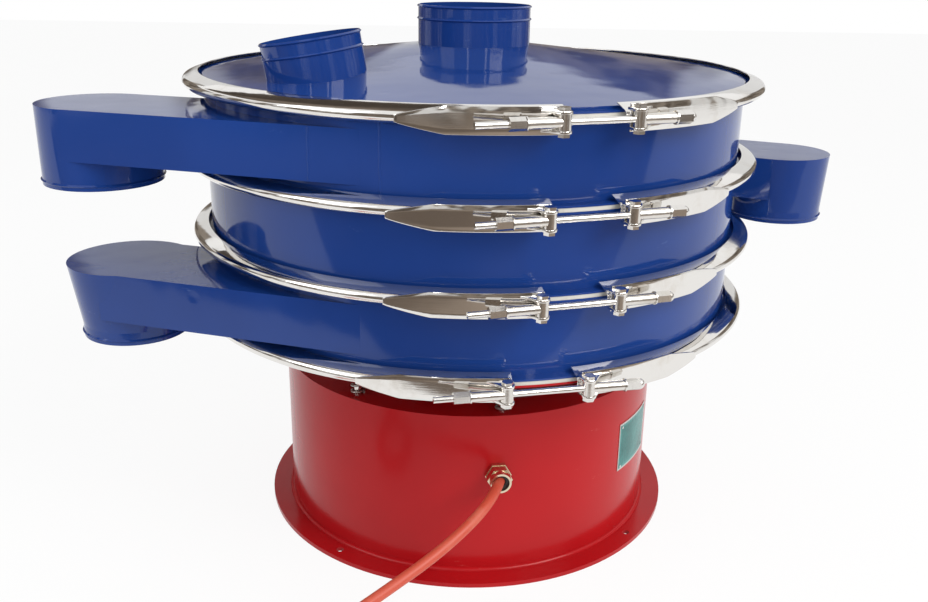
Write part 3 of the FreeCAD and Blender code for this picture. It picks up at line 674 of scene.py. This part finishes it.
def turned(points: Iterable[Vector], azimuth_deg: float) -> list[Vector]:
    """Points turned about the machine's axis."""
    turn = Matrix.Rotation(math.radians(azimuth_deg), 3, "Z")
    return [turn @ p for p in points]


# ---------------------------------------------------------------- cords
@dataclass(frozen=True)
class Cord:
    """A round flexible lead along one smooth spline."""

    name: str
    points: tuple[Point, ...]
    diameter_mm: float
    length_m: float
    far_end: str
    lay: str
    body: Body
    nodes: tuple[str, ...]
    with_nodes: tuple[str, ...] = ()

    def build(self, palette: Palette) -> bpy.types.Object:
        """Args:
            palette: The materials.

        Returns:
            The curve object.
        """
        data = bpy.data.curves.new(self.name, "CURVE")
        data.dimensions = "3D"
        data.bevel_depth = self.diameter_mm / 2 * MM
        data.bevel_resolution = 6
        data.resolution_u = 6
        data.use_fill_caps = True
        spline = data.splines.new("NURBS")
        spline.points.add(len(self.points) - 1)
        for point, place in zip(spline.points, self.points):
            point.co = (*place, 1.0)
        spline.order_u = 3
        spline.use_endpoint_u = True
        cord = bpy.data.objects.new(self.name, data)
        bpy.context.collection.objects.link(cord)
        palette.dress(cord, Slot.CABLE)
        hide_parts(*self.nodes)
        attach(cord, self.body.value)
        self.diameter_mm * MM
        return cord


@dataclass(frozen=True)
class Coil:
    """The put-away turns: two side by side and two layers, wound clockwise from the front.

    The spline runs inside its control points, which therefore stand wider by the share of swell.
    """

    centre_mm: tuple[float, float] = (-440.0, -655.0)
    inner_mm: float = 91.0
    outer_mm: float = 109.0
    low_mm: float = 9.0
    high_mm: float = 27.0
    turns: int = 4
    steps: int = 16
    shift: float = 0.1875
    swell: float = 1.008

    def points(self) -> list[Point]:
        """Control points of the turns.

        Returns:
            Points in metres.
        """
        found = []
        for k in range(self.turns * self.steps + 1):
            done = k / self.steps
            radius = self.outer_mm + (self.inner_mm - self.outer_mm) * (
                self._step(done, 1 - self.shift) - self._step(done, 3 - 3 * self.shift))
            height = self.low_mm + (self.high_mm - self.low_mm) * self._step(done, 2 - 2 * self.shift)
            angle = -math.pi / 2 - 2 * math.pi * done
            found.append(((self.centre_mm[0] + radius * self.swell * math.cos(angle)) * MM,
                          (self.centre_mm[1] + radius * self.swell * math.sin(angle)) * MM, height * MM))
        return found

    def _step(self, done: float, start: float) -> float:
        """A smooth step from 0 to 1 that begins after the given turns."""
        share = min(max((done - start) / self.shift, 0.0), 1.0)
        return share * share * (3 - 2 * share)


GLAND_AZ = 8.5
GLAND_Z = 202.0
GLAND_FACE_R = 386.1
CABLE_MM = 18.0
CABLE_ROUTE = (
    (0.045, -0.440, 0.204),
    (0.008, -0.492, 0.184),
    (-0.049, -0.545, 0.158),
    (-0.118, -0.598, 0.133),
    (-0.196, -0.655, 0.106),
    (-0.262, -0.703, 0.062),
    (-0.320, -0.742, 0.026),
    (-0.372, -0.761, 0.0115),
    (-0.425, -0.764, 0.009),
)
LEAD_END = ((-0.480, -0.764, 0.027), (-0.5202, -0.764, 0.027))
LEAD_ROUTE = ((380.3, 0.0), (290.0, -3.0), (208.2, 0.0), (161.8, 26.8), (135.0, 73.2), (135.0, 127.0))


def power_cable() -> Cord:
    """The supply cable from the gland to the plug."""
    start = tuple(front(GLAND_FACE_R, GLAND_AZ, GLAND_Z))
    return Cord("supply_cable", (start, *CABLE_ROUTE, *Coil().points(), *LEAD_END), CABLE_MM, 3.27, "plug",
                "coiled", Body.BASE, ("power_cable", "cable_coil", "plug_lead"), ("plug",))


def motor_lead() -> Cord:
    """The lead inside the drum, from the gland up to the motor's terminal box."""
    points = tuple(tuple(front(radius, GLAND_AZ, GLAND_Z + rise)) for radius, rise in LEAD_ROUTE)
    return Cord("inner_lead", points, CABLE_MM, 0.33, "object", "hanging", Body.BASE, ("motor_lead",))


# ---------------------------------------------------------------- clamp rings
BARREL_R = 9.5


@dataclass(frozen=True)
class RingForm:
    """Section of a V-section clamp ring and of what is welded to it, in millimetres."""

    apex_r: float = 520.0
    lip_r: float = 492.5
    half_h: float = 16.0
    sheet: float = 2.0
    bend_r: float = 9.0
    bend_steps: int = 12
    steps: int = 300
    setback: float = 13.0
    strap_half_h: float = 19.75
    strap_t: float = 3.0
    strap_deg: float = 26.0
    strap_setback_deg: float = 0.5
    strap_steps: int = 40
    strap_seat: float = 0.2
    nose_l: float = 70.0
    nose_half_h: float = 5.0
    nose_power: float = 0.85
    ear_z: float = 11.3
    ear_t: float = 4.0
    ear_r: float = 11.0
    ear_tail: float = 32.0
    ear_seat: float = 0.5
    ear_slope: tuple[float, float] = (0.75, 5.0)
    ear_arc_deg: tuple[float, float] = (20.0, 180.0)
    ear_steps: int = 10
    rod_y: float = 533.0

    def section(self) -> list[tuple[float, float]]:
        """Closed section of two flanks that run into a round nose.

        Returns:
            Its corners, as radius and height.
        """
        slope = self._slope(self.bend_r, self.lip_r, self.half_h)
        back = (self.lip_r - self.sheet * math.sin(slope), self.half_h - self.sheet * math.cos(slope))
        outer = self._skin(self.bend_r, self.lip_r, self.half_h)
        return outer + list(reversed(self._skin(self.bend_r - self.sheet, *back)))

    def _slope(self, nose_r: float, lip_r: float, lip_z: float) -> float:
        """Angle of the flank that runs from a lip and touches a nose of the given radius.

        Args:
            nose_r: Radius of the nose.
            lip_r: Radius of the lip.
            lip_z: Height of the lip over the ring's middle.

        Returns:
            The angle from the level, in radians.
        """
        inward = self.apex_r - self.bend_r - lip_r
        return math.atan2(lip_z, inward) - math.asin(nose_r / math.hypot(inward, lip_z))

    def _skin(self, nose_r: float, lip_r: float, lip_z: float) -> list[tuple[float, float]]:
        """One side of the sheet, from the upper lip round the nose to the lower lip.

        Args:
            nose_r: Radius of the nose.
            lip_r: Radius of the lips.
            lip_z: Height of the upper lip over the ring's middle.

        Returns:
            Corners, as radius and height.
        """
        turn = math.pi / 2 - self._slope(nose_r, lip_r, lip_z)
        angles = (turn * (1 - 2 * k / self.bend_steps) for k in range(self.bend_steps + 1))
        hub = self.apex_r - self.bend_r
        return [(lip_r, lip_z), *((hub + nose_r * math.cos(a), nose_r * math.sin(a)) for a in angles),
                (lip_r, -lip_z)]


@dataclass(frozen=True)
class Closer:
    """Where one ring's gap and its closer are, read from the frame."""

    number: int
    azimuth_deg: float
    closer_z: float
    ring_z: float
    pin_s: float

    @staticmethod
    def read(number: int, seal: str) -> "Closer":
        """Finds one closer from its nut's joint, its trunnion and the seal inside its ring.

        Args:
            number: The ring's number, from the top.
            seal: The node of the seal inside the ring.

        Returns:
            The closer's places.
        """
        joint = next(j for j in frame["joints"] if j["name"] == f"closing_nut_{number}_turn")
        azimuth = math.degrees(math.atan2(joint["axis"][1], joint["axis"][0]))
        low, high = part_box(seal)
        turn = Matrix.Rotation(-math.radians(azimuth), 3, "Z")
        barrel = frame["nodes"][f"right_trunnion_{number}"].data.vertices
        nearest = min((turn @ v.co).x for v in barrel) / MM
        return Closer(number, azimuth, joint["pos_m"][2] / MM, (low.z + high.z) / 2 / MM, nearest + BARREL_R)


class ClampRing:
    """One split V ring with its strap plates and ears."""

    def __init__(self, form: RingForm, closer: Closer) -> None:
        """Sets the ring's form and how wide its gap is.

        Args:
            form: The section and the welded pieces.
            closer: Where the gap and its closer are.
        """
        self.form = form
        self.closer = closer
        self.gap_deg = math.degrees((closer.pin_s - form.setback) / form.apex_r)

    def build(self, palette: Palette) -> bpy.types.Object:
        """Adds the ring in place of its CAD node.

        Args:
            palette: The materials.

        Returns:
            The ring.
        """
        sheet = Sheet()
        self._hoop(sheet)
        for side in (-1, 1):
            self._strap(sheet, side)
            for low in (self.form.ear_z, -self.form.ear_z - self.form.ear_t):
                self._ear(sheet, side, low)
        ring = sheet.finish(f"ring_{self.closer.number}_polished", bevel_mm=0.7)
        palette.dress(ring, Slot.POLISHED)
        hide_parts(f"clamp_ring_{self.closer.number}")
        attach(ring, Body.SIEVE.value)
        return ring

    def _at(self, radius: float, azimuth: float, z: float) -> Vector:
        """A point in millimetres, its azimuth from the gap's middle."""
        return front(radius, azimuth + self.closer.azimuth_deg, z) / MM

    def _hoop(self, sheet: Sheet) -> None:
        """Adds the V from one side of the gap round to the other.

        Args:
            sheet: The mesh under construction.
        """
        form = self.form
        span = 360 - 2 * self.gap_deg
        sheet.loft([[self._at(r, self.gap_deg + span * k / form.steps, self.closer.ring_z + z)
                     for r, z in form.section()] for k in range(form.steps + 1)])

    def _strap(self, sheet: Sheet, side: int) -> None:
        """Adds the plate that lies over the nose beside the gap and tapers to a tip.

        Args:
            sheet: The mesh under construction.
            side: -1 for the left one, 1 for the right one.
        """
        form = self.form
        start = self.gap_deg + form.strap_setback_deg
        length = math.radians(form.strap_deg) * form.apex_r
        levels = (-1.0, -0.5, 0.0, 0.5, 1.0)
        skins = ((form.apex_r + form.strap_t, levels), (form.apex_r - form.strap_seat, levels[::-1]))
        rows = []
        for k in range(form.strap_steps + 1):
            along = length * k / form.strap_steps
            taper = min((length - along) / form.nose_l, 1.0) ** form.nose_power
            half = form.nose_half_h + (form.strap_half_h - form.nose_half_h) * taper
            azimuth = side * (start + math.degrees(along / form.apex_r))
            rows.append([self._at(radius, azimuth, self.closer.closer_z + half * level)
                         for radius, order in skins for level in order])
        sheet.loft(rows)

    def _ear(self, sheet: Sheet, side: int, low: float) -> None:
        """Adds one flat ear, which holds an end of the pivot screw.

        Args:
            sheet: The mesh under construction.
            side: -1 for the left one, 1 for the right one.
            low: Its underside over the closer's middle.
        """
        form = self.form
        azimuth = math.degrees(math.atan2(self.closer.pin_s, form.rod_y))
        distance = math.hypot(self.closer.pin_s, form.rod_y)
        root = form.apex_r + form.ear_seat
        share, rise = form.ear_slope
        first, last = form.ear_arc_deg
        angles = (math.radians(first + (last - first) * k / form.ear_steps) for k in range(form.ear_steps + 1))
        outline = [(-form.ear_r, -root), (form.ear_tail, -root), (form.ear_tail * share, -root - rise)]
        outline += [(form.ear_r * math.cos(a), -distance - form.ear_r * math.sin(a)) for a in angles]
        points = [Vector((side * x, y, self.closer.closer_z + low)) for x, y in outline]
        sheet.slab(turned(points, side * azimuth + self.closer.azimuth_deg), Vector((0.0, 0.0, form.ear_t)))


# ---------------------------------------------------------------- springs
@dataclass(frozen=True)
class SpringSet:
    """Round-wire springs between the drum and the table, with closed end turns."""

    count: int = 8
    circle_r: float = 338.0
    azimuth_deg: float = -35.0
    radius: float = 10.6
    wire_r: float = 2.35
    turns: float = 6.0
    dead_turns: float = 1.0
    steps: int = 20
    sides: int = 10
    seat_gap: float = 0.05
    dead_gap: float = 0.1

    def build(self, palette: Palette) -> bpy.types.Object:
        """Adds the springs in place of their CAD node.

        Args:
            palette: The materials.

        Returns:
            The springs as one mesh.
        """
        low, high = (corner.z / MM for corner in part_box("support_springs"))
        sheet = Sheet()
        for k in range(self.count):
            self._spring(sheet, self.azimuth_deg + 360 / self.count * k, low, high)
        springs = sheet.finish("coil_springs", smooth_deg=60.0)
        palette.dress(springs, Slot.SPRING)
        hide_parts("support_springs")
        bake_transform(springs)
        return springs

    def _spring(self, sheet: Sheet, azimuth: float, low: float, high: float) -> None:
        """Adds one spring.

        Args:
            sheet: The mesh under construction.
            azimuth: Where it stands on its circle, in degrees.
            low: Height of its seat on the drum.
            high: Height of its seat under the table.
        """
        total = self.turns + 2 * self.dead_turns
        bottom = low + self.wire_r + self.seat_gap
        top = high - self.wire_r - self.seat_gap
        pitch = 2 * self.wire_r + self.dead_gap
        rise = (top - bottom - 2 * self.dead_turns * pitch) / self.turns
        centre = front(self.circle_r, azimuth, 0.0) / MM
        rows = []
        count = int(total * self.steps)
        for k in range(count + 1):
            done = total * k / count
            before = min(done, self.dead_turns) * pitch
            middle = min(max(done - self.dead_turns, 0.0), self.turns) * rise
            after = max(done - self.dead_turns - self.turns, 0.0) * pitch
            out = Vector((math.cos(2 * math.pi * done), math.sin(2 * math.pi * done), 0.0))
            hub = centre + out * self.radius + Vector((0.0, 0.0, bottom + before + middle + after))
            rows.append([hub + out * (self.wire_r * math.cos(a)) + Vector((0.0, 0.0, self.wire_r * math.sin(a)))
                         for a in (2 * math.pi * s / self.sides for s in range(self.sides))])
        sheet.loft(rows)


# ---------------------------------------------------------------- welds and seams
@dataclass(frozen=True)
class WeldBead:
    """A rippled weld bead round the machine's axis, laid into a corner."""

    name: str
    radius: float
    z: float
    size: float
    slot: Slot
    body: Body
    ripple: float = 5.0
    ripple_share: float = 0.10
    swell_share: float = 0.08
    drift: float = 0.15
    root: float = 1.0
    steps: int = 900
    sides: int = 8
    arc_deg: tuple[float, float] = (-30.0, 120.0)

    def build(self, palette: Palette) -> bpy.types.Object:
        """Adds the bead.

        Args:
            palette: The materials.

        Returns:
            The bead.
        """
        sheet = Sheet()
        first, last = self.arc_deg
        angles = [math.radians(first + (last - first) * s / (self.sides - 1)) for s in range(self.sides)]
        rows = []
        for k in range(self.steps):
            azimuth = 360 * k / self.steps
            along = math.radians(azimuth) * self.radius
            size = self.size * (1.0 + self.ripple_share * math.sin(2 * math.pi * along / self.ripple)
                                + self.swell_share * math.sin(along * 0.031 + 1.7))
            middle = self.z + self.drift * math.sin(along * 0.047)
            row = [front(self.radius + size * math.cos(a), azimuth, middle + size * math.sin(a)) / MM
                   for a in angles]
            row.append(front(self.radius - self.root, azimuth, self.z - self.root) / MM)
            rows.append(row)
        sheet.loft(rows, closed=True)
        bead = sheet.finish(self.name, smooth_deg=70.0)
        palette.dress(bead, self.slot)
        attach(bead, self.body.value)
        return bead


@dataclass(frozen=True)
class UprightSeam:
    """An upright ground weld on a sheet face that looks out at the given azimuth."""

    azimuth_deg: float
    radius: float
    facing_deg: float
    low: float
    high: float
    half_w: float = 2.0
    proud: float = 0.7
    steps: int = 60
    sides: int = 6

    def add_to(self, sheet: Sheet) -> None:
        """Adds the seam's skin to a mesh under construction.

        Args:
            sheet: The mesh.
        """
        foot = front(self.radius, self.azimuth_deg, 0.0) / MM
        out = front(1.0, self.facing_deg, 0.0) / MM
        across = Vector((-out.y, out.x, 0.0))
        rows = []
        for k in range(self.steps + 1):
            z = self.low + (self.high - self.low) * k / self.steps
            place = foot + Vector((0.0, 0.0, z))
            drift = 0.35 * math.sin(z * 0.21 + self.azimuth_deg) + 0.2 * math.sin(z * 0.53)
            height = self.proud * (1 + 0.3 * math.sin(z * 1.7))
            row = [place + across * (self.half_w * math.cos(a) + drift) + out * (height * math.sin(a) - 0.1)
                   for a in (math.pi * s / self.sides for s in range(self.sides + 1))]
            row.append(place - out * 0.5)
            rows.append(row)
        sheet.loft(rows)


@dataclass(frozen=True)
class OutletSeams:
    """The welds on the upper outlet's long side: where it meets the wall, and a joint in its sheet."""

    shell_r: float = 486.0
    inset: float = 1.0
    tangent_deg: float = -15.64
    joint_deg: float = -28.6
    lip_rise: float = 3.3
    duct_floor: float = 108.1
    duct_roof: float = 26.3
    wall_margin: float = 6.0
    duct_margin: float = 1.5

    def build(self, palette: Palette) -> bpy.types.Object:
        """Adds the seams.

        Args:
            palette: The materials.

        Returns:
            The seams as one mesh.
        """
        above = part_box("cover_seal")[0].z / MM
        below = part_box("upper_screen_seal")[1].z / MM
        floor = above + self.lip_rise - self.duct_floor + self.duct_margin
        roof = above + self.lip_rise - self.duct_roof - self.duct_margin
        reach = (self.shell_r - self.inset) / math.cos(math.radians(self.joint_deg - self.tangent_deg))
        sheet = Sheet()
        UprightSeam(self.tangent_deg, self.shell_r, self.tangent_deg,
                    below + self.wall_margin, above - self.wall_margin).add_to(sheet)
        UprightSeam(self.joint_deg, reach, self.tangent_deg, floor, roof).add_to(sheet)
        seams = sheet.finish("outlet_seams", smooth_deg=70.0)
        palette.dress(seams, Slot.BLUE)
        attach(seams, Body.SIEVE.value)
        return seams


# ---------------------------------------------------------------- sub-assemblies
@dataclass(frozen=True)
class Base:
    """The drum's springs and its foot's weld."""

    palette: Palette
    foot_t: float = 8.0
    drum_r: float = 362.0
    weld: float = 6.2

    def build(self) -> list[bpy.types.Object]:
        """Adds the pieces of the base.

        Returns:
            The pieces.
        """
        bead = WeldBead("foot_weld", self.drum_r, self.foot_t, self.weld, Slot.RED, Body.BASE)
        return [SpringSet().build(self.palette), bead.build(self.palette)]


@dataclass(frozen=True)
class Sieve:
    """The vibrating stack's rings and seams."""

    palette: Palette
    form: RingForm = RingForm()
    seals: tuple[str, ...] = ("cover_seal", "upper_screen_seal", "lower_screen_seal", "table_seal")

    def build(self) -> list[bpy.types.Object]:
        """Adds the pieces of the stack.

        Returns:
            The pieces.
        """
        closers = [Closer.read(number, seal) for number, seal in enumerate(self.seals, 1)]
        rings = [ClampRing(self.form, closer).build(self.palette) for closer in closers]
        return [*rings, OutletSeams().build(self.palette)]


@dataclass(frozen=True)
class Studio:
    """Pale floor, white surroundings, soft lamps and the dull cards that bright metal mirrors."""

    ambient: float = 0.62
    floor_half: float = 14.0
    floor_glow: float = 0.9
    wall_r: float = 6.5
    wall_h: float = 2.9
    dull: float = 0.95

    def build(self) -> None:
        """Adds the floor, the world and the lamps."""
        self._world()
        self._floor()
        self._surroundings()
        for lamp in (
            SoftBox("key", (3.0, -2.6, 3.4), (0.0, 0.0, 0.45), (2.4, 2.4), 150.0, (1.0, 0.985, 0.96)),
            SoftBox("fill", (-3.4, -2.2, 2.6), (0.0, 0.0, 0.5), (2.4, 2.4), 40.0, (0.95, 0.975, 1.0)),
            SoftBox("strip_right", (1.7, -3.6, 1.9), (0.0, 0.0, 0.8), (0.22, 1.6), 9.0),
            SoftBox("strip_left", (-0.9, -4.2, 2.1), (0.0, 0.0, 0.8), (0.18, 1.4), 7.0),
        ):
            lamp.build()

    def _seen(self, tree: bpy.types.NodeTree) -> Value:
        """1 for rays from the camera or off a glossy or clear surface, 0 for the rest.

        Args:
            tree: The tree to add to.

        Returns:
            The share.
        """
        path = add_node(tree, "ShaderNodeLightPath")
        camera, glossy, clear = (Value(tree, path.outputs[name])
                                 for name in ("Is Camera Ray", "Is Glossy Ray", "Is Transmission Ray"))
        return camera.larger(glossy).larger(clear)

    def _world(self) -> None:
        """Makes the world white to the eye and softer as a light."""
        world = bpy.data.worlds.new("white_surroundings")
        bpy.context.scene.world = world
        world.use_nodes = True
        tree = world.node_tree
        background = tree.nodes["Background"]
        background.inputs["Color"].default_value = (1.0, 1.0, 1.0, 1.0)
        strength = self.ambient + (1 - self.ambient) * self._seen(tree)
        tree.links.new(strength.socket, background.inputs["Strength"])

    def _floor(self) -> None:
        """Adds a pale floor that keeps the object's shadow."""
        bpy.ops.mesh.primitive_plane_add(size=2 * self.floor_half)
        floor = bpy.context.object
        floor.name = "floor"
        canvas = Canvas("floor_white")
        canvas.feed("Base Color", canvas.mixed(canvas.noise(3.0, 2.0), (0.90, 0.90, 0.90), (0.93, 0.93, 0.93)))
        canvas.set(Roughness=0.85)
        glow = add_node(canvas.tree, "ShaderNodeEmission")
        blend = add_node(canvas.tree, "ShaderNodeMixShader", inputs={
            0: self._seen(canvas.tree) * self.floor_glow, 1: canvas.shader.outputs[0], 2: glow.outputs[0]})
        output = canvas.tree.nodes["Material Output"]
        canvas.tree.links.new(blend.outputs[0], output.inputs["Surface"])
        floor.data.materials.append(canvas.material)

    def _surroundings(self) -> None:
        """Adds dull walls, a mat and a ceiling out of the camera's sight, with pale openings."""
        bpy.ops.mesh.primitive_cylinder_add(vertices=96, radius=self.wall_r, depth=self.wall_h,
                                            end_fill_type="NOTHING", location=(0.0, 0.0, self.wall_h / 2))
        canvas = Canvas("dull_wall")
        across = canvas.noise(0.55, 2.0, stretch=(1.0, 1.0, 0.25)).band(0.53, 0.58)
        patch = canvas.noise(1.6, 3.0, stretch=(1.0, 1.0, 0.5)).band(0.4, 0.62)
        dull = canvas.mixed(patch, (0.12, 0.095, 0.075), (0.34, 0.29, 0.24))
        self._card(canvas, canvas.mixed(across, dull, (0.95, 0.95, 0.95)))
        bpy.ops.mesh.primitive_plane_add(size=1.0, location=(0.0, -4.0, 0.003))
        bpy.context.object.scale = (11.0, 5.2, 1.0)
        canvas = Canvas("dull_mat")
        patch = canvas.noise(2.2, 3.0).band(0.42, 0.6)
        self._card(canvas, canvas.mixed(patch, (0.10, 0.072, 0.052), (0.30, 0.24, 0.19)))
        bpy.ops.mesh.primitive_plane_add(size=1.0, location=(-3.2, 3.0, 4.4))
        bpy.context.object.scale = (6.2, 7.0, 1.0)
        canvas = Canvas("dull_ceiling")
        patch = canvas.noise(1.1, 3.0).band(0.4, 0.62)
        self._card(canvas, canvas.mixed(patch, (0.08, 0.06, 0.045), (0.26, 0.21, 0.17)))

    def _card(self, canvas: Canvas, colour: Value) -> None:
        """Dresses the newest object as a dull card that only mirrors show.

        Args:
            canvas: Its material, whose name it takes.
            colour: The material's colour.
        """
        card = bpy.context.object
        card.name = canvas.material.name
        canvas.feed("Base Color", colour)
        canvas.set(Roughness=self.dull)
        card.data.materials.append(canvas.material)
        card.visible_camera = False
        card.visible_shadow = False
        card.visible_diffuse = False


def main() -> None:
    """Builds the scene and reports its pieces."""
    logging.basicConfig(level=logging.INFO)
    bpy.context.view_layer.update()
    palette = Palette()
    CameraView().build()
    cords = [power_cable().build(palette), motor_lead().build(palette)]
    palette.dress_frame()
    for piece in (*cords, *Base(palette).build(), *Sieve(palette).build()):
        LOG.info("built %s, a %s", piece.name, piece.type.lower())
    Studio().build()
    bpy.context.scene.view_settings.view_transform = "Standard"


if __name__ == "__main__":
    main()
